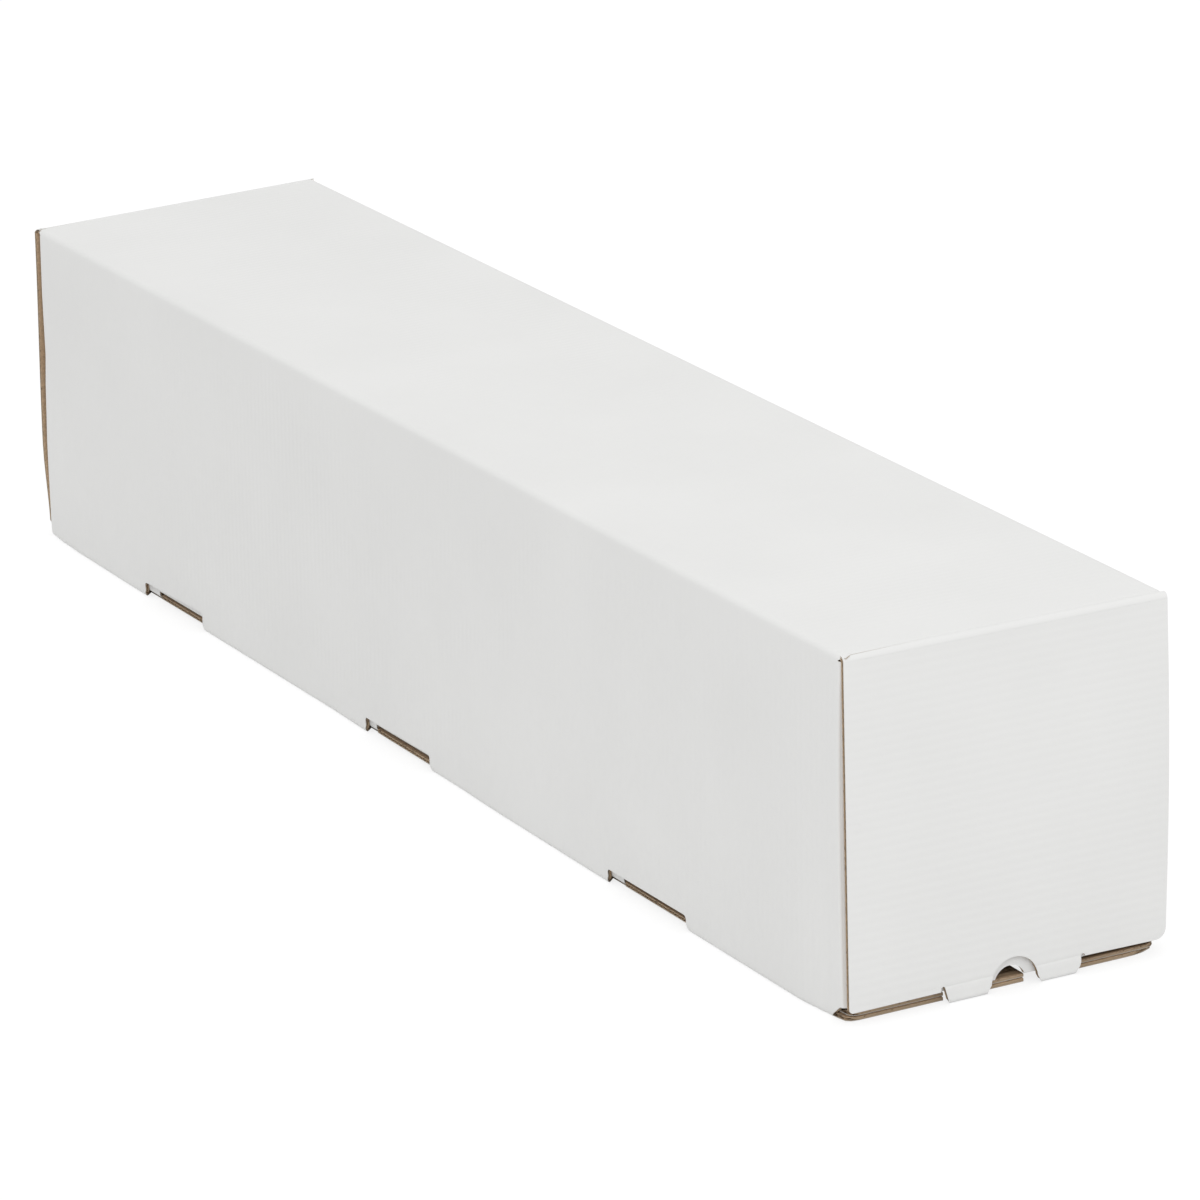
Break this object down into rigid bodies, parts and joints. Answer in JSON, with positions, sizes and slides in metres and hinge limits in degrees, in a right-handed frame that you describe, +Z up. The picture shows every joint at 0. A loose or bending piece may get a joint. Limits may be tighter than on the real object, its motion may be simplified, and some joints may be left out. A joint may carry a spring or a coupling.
{
  "type": "cardboard mailing tube",
  "caption": "Long square mailing tube folded from white-faced corrugated board, with locking bottom tabs and hinged end flaps.",
  "frame": {"origin": "middle of the tube's underside, on the surface it stands on", "axes": "+X along the tube to the near end flap, +Y across it to the unslotted long side, +Z up"},
  "size_m": [0.63, 0.125, 0.129],
  "materials": {
    "white_board": "matte white paper liner outside, brown kraft liner inside and on the cut edges"
  },
  "bodies": {
    "tube": {"tube_shell": "white_board"},
    "near_flap": {"near_end_flap": "white_board"},
    "far_flap": {"far_end_flap": "white_board"}
  },
  "joints": [
    {"name": "near_flap_crease", "type": "hinge", "parent": "tube", "child": "near_flap", "pos_m": [0.315, 0, 0.129], "axis": [0, -1, 0], "range_deg": [0, 180]},
    {"name": "far_flap_crease", "type": "hinge", "parent": "tube", "child": "far_flap", "pos_m": [-0.315, 0, 0.129], "axis": [0, 1, 0], "range_deg": [0, 180]}
  ]
}
